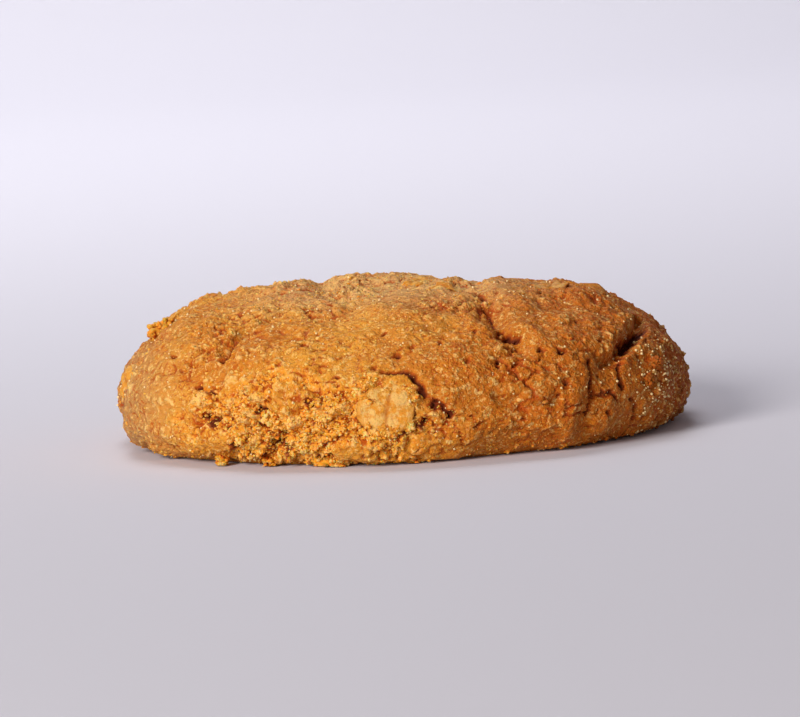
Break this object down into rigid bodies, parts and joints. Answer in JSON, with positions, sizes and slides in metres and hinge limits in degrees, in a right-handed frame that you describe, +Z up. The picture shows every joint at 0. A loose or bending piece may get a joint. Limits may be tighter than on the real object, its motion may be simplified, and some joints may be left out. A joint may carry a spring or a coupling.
{
  "type": "oatmeal cookie",
  "caption": "Thick round oatmeal cookie with a lumpy cracked crown, oat flakes in its crust, a crumbly lower edge at the front and a flat base.",
  "frame": {"origin": "centre of the flat base, on the surface that the cookie rests on", "axes": "+Z up through the crown, -Y towards the viewer of the picture, +X to the right of the picture"},
  "size_m": [0.0674, 0.0694, 0.0183],
  "materials": {
    "baked_dough": "matt golden brown baked dough",
    "oat_flake": "matt pale tan rolled oat",
    "cookie_crumb": "matt yellow brown crumb",
    "sugar": "glossy pale sugar grain"
  },
  "bodies": {
    "root": {"cookie": "baked_dough"}
  },
  "joints": []
}
